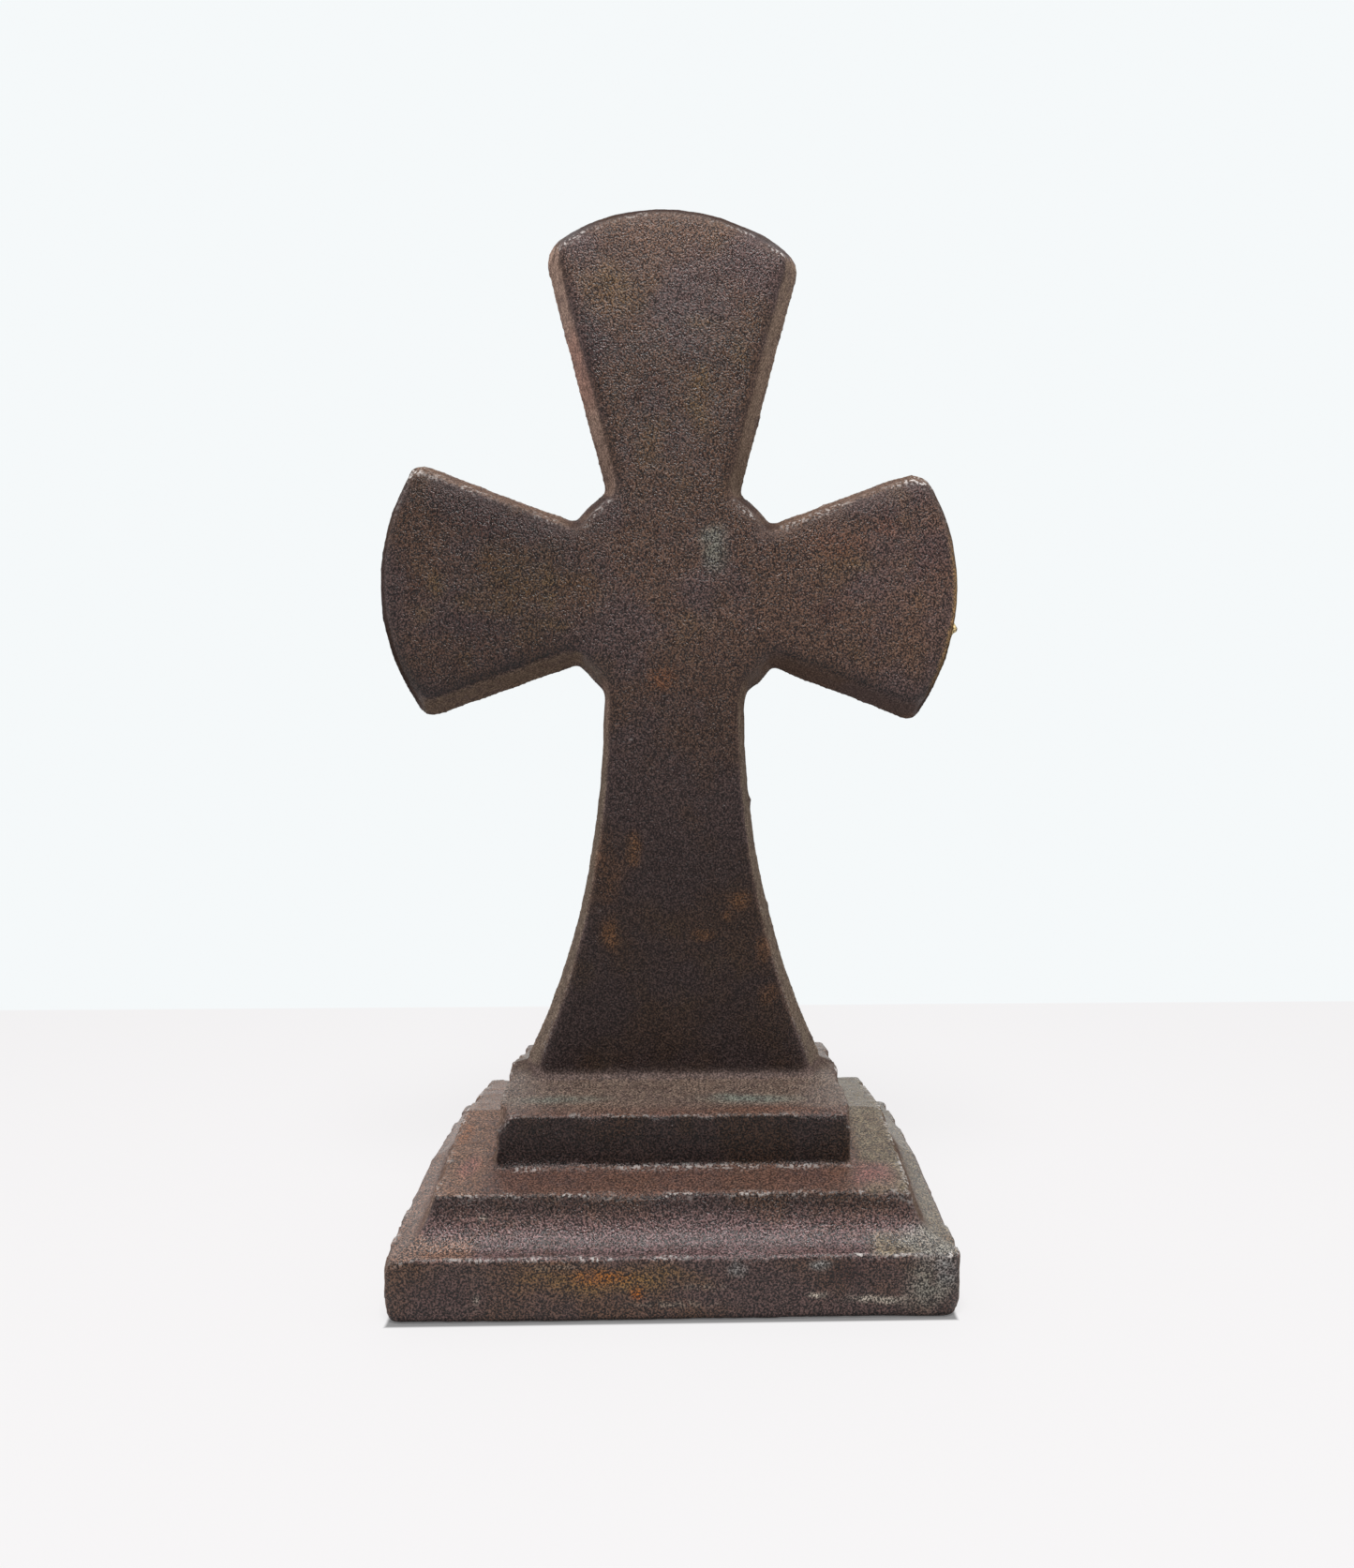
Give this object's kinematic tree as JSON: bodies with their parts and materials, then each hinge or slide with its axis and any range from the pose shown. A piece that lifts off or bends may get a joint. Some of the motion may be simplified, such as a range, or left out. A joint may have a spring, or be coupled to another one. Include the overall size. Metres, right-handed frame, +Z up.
{
  "type": "grave cross",
  "caption": "Iron grave cross cast in one piece: flared arms with rounded ends, a disc at the crossing and a shaft that spreads down to a stepped base with a cove.",
  "frame": {"origin": "centre of the underside of the base", "axes": "+Z up along the shaft, +X to the viewer's right along the arms, and the face seen in the picture looks along -Y; the mould's parting plane is y = 0"},
  "size_m": [0.1696, 0.1212, 0.3],
  "materials": {
    "iron": "rough sand-cast skin with a dark brown rust patina"
  },
  "bodies": {
    "root": {"grave_cross": "iron"}
  },
  "joints": []
}
